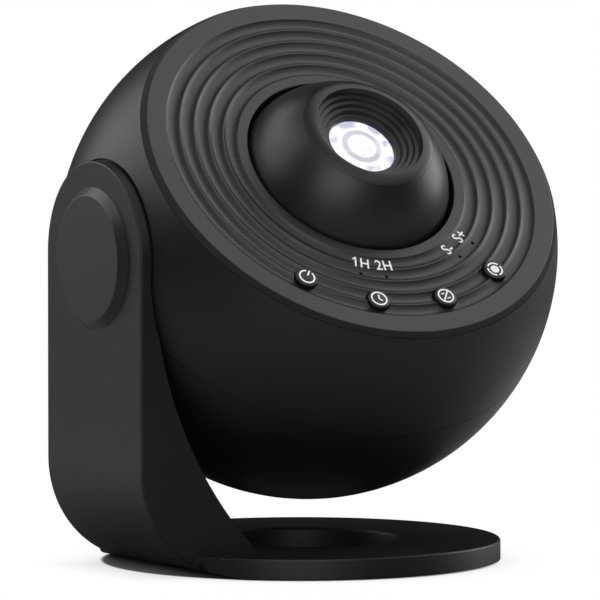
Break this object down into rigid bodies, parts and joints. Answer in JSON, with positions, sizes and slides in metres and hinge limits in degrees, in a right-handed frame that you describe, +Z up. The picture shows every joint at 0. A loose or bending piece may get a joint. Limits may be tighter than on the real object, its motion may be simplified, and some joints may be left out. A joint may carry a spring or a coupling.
{
  "type": "planetarium projector",
  "caption": "Tabletop planetarium projector: a ball head with a ringed face, stepped lens funnel and push buttons, tilting on one curved arm above a flat ring base.",
  "frame": {"origin": "on the table, under the middle of the whole object's box, 1.4 mm behind the ball's centre", "axes": "+Z up; the ringed face looks along -Y and 45 degrees up; the arm stands on the -X side and the tilt axis is along X"},
  "size_m": [0.13, 0.1274, 0.1434],
  "materials": {
    "body_plastic": "fine satin texture",
    "face_plastic": "fine satin texture",
    "nose_plastic": "satin",
    "cap_plastic": "semi-gloss",
    "button_plastic": "satin with white printed marks",
    "inner_plastic": "moulded",
    "clear_glass": "polished",
    "slide_film": "dark film with clear dots",
    "light_pipe": "smoked clear",
    "lamp_emitter": "clear dome over a white chip",
    "circuit_board": "solder mask",
    "lamp_board_metal": "bead blasted",
    "component_plastic": "moulded",
    "steel": "zinc plated",
    "ballast_steel": "as punched",
    "hub_metal": "turned",
    "bearing_plastic": "acetal",
    "lead_sleeve": "vinyl",
    "foot_rubber": "matt"
  },
  "bodies": {
    "stand": {"stand_body": "body_plastic", "base_cover": "inner_plastic", "ballast_ring": "ballast_steel", "rubber_feet": "foot_rubber", "base_screws": "steel", "pivot_cap": "cap_plastic", "pivot_bush": "bearing_plastic", "wave_washer": "steel", "friction_washer": "bearing_plastic"},
    "head": {"front_shell": "body_plastic", "rear_shell": "body_plastic", "face_plate": "face_plastic", "objective_tube": "inner_plastic", "chassis_plate": "inner_plastic", "condenser_housing": "inner_plastic", "condenser_lens_front": "clear_glass", "condenser_spacer": "inner_plastic", "condenser_lens_rear": "clear_glass", "lamp_reflector": "lamp_board_metal", "lamp_led": "lamp_emitter", "lamp_board": "lamp_board_metal", "heat_sink": "lamp_board_metal", "drive_motor": "steel", "tact_switches": "inner_plastic", "button_board": "circuit_board", "indicator_leds": "lamp_emitter", "light_pipes": "light_pipe", "main_board": "circuit_board", "board_parts": "component_plastic", "power_inlet": "steel", "inlet_board": "circuit_board", "wire_leads": "lead_sleeve", "shell_screws": "steel", "chassis_screws": "steel", "face_screws": "steel", "small_screws": "steel", "pivot_hub": "hub_metal", "hub_screws": "steel", "pivot_snap_ring": "steel"},
    "focus_dial": {"dome_shell": "nose_plastic", "nose_funnel": "nose_plastic", "front_window": "clear_glass", "cam_sleeve": "inner_plastic", "dome_retainer": "inner_plastic"},
    "focus_cell": {"lens_cell": "inner_plastic", "cell_pins": "steel", "objective_lens_front": "clear_glass", "objective_lens_rear": "clear_glass", "cell_retaining_ring": "steel"},
    "slide_carrier": {"carrier_gear": "inner_plastic", "slide_disc": "slide_film", "slide_clip": "steel"},
    "motor_rotor": {"motor_pinion": "inner_plastic", "motor_shaft": "steel"},
    "button_power": {"button_power": "button_plastic"},
    "button_timer": {"button_timer": "button_plastic"},
    "button_rotation": {"button_rotation": "button_plastic"},
    "button_light": {"button_light": "button_plastic"}
  },
  "joints": [
    {"name": "head_tilt", "type": "hinge", "parent": "stand", "child": "head", "pos_m": [0, -0.00137, 0.081], "axis": [1, 0, 0], "range_deg": [-45, 45]},
    {"name": "focus_turn", "type": "hinge", "parent": "head", "child": "focus_dial", "pos_m": [0, -0.00137, 0.081], "axis": [0, -0.7071, 0.7071], "range_deg": [-60, 60]},
    {"name": "focus_travel", "type": "slide", "parent": "head", "child": "focus_cell", "axis": [0, -0.7071, 0.7071], "range_m": [-0.0015, 0.0015]},
    {"name": "slide_spin", "type": "hinge", "parent": "head", "child": "slide_carrier", "pos_m": [0, -0.00137, 0.081], "axis": [0, -0.7071, 0.7071], "continuous": true},
    {"name": "motor_spin", "type": "hinge", "parent": "head", "child": "motor_rotor", "pos_m": [0, 0.0139, 0.09627], "axis": [0, -0.7071, 0.7071], "continuous": true},
    {"name": "power_press", "type": "slide", "parent": "head", "child": "button_power", "axis": [0, 0.7071, -0.7071], "range_m": [0, 0.0006], "stiffness_N_per_m": 600, "springref_m": -0.0002},
    {"name": "timer_press", "type": "slide", "parent": "head", "child": "button_timer", "axis": [0, 0.7071, -0.7071], "range_m": [0, 0.0006], "stiffness_N_per_m": 600, "springref_m": -0.0002},
    {"name": "rotation_press", "type": "slide", "parent": "head", "child": "button_rotation", "axis": [0, 0.7071, -0.7071], "range_m": [0, 0.0006], "stiffness_N_per_m": 600, "springref_m": -0.0002},
    {"name": "light_press", "type": "slide", "parent": "head", "child": "button_light", "axis": [0, 0.7071, -0.7071], "range_m": [0, 0.0006], "stiffness_N_per_m": 600, "springref_m": -0.0002}
  ],
  "couplings": [
    {"joint": "focus_travel", "follows": "focus_turn", "m_per_rad": 0.0014324},
    {"joint": "motor_spin", "follows": "slide_spin", "ratio": -5}
  ]
}
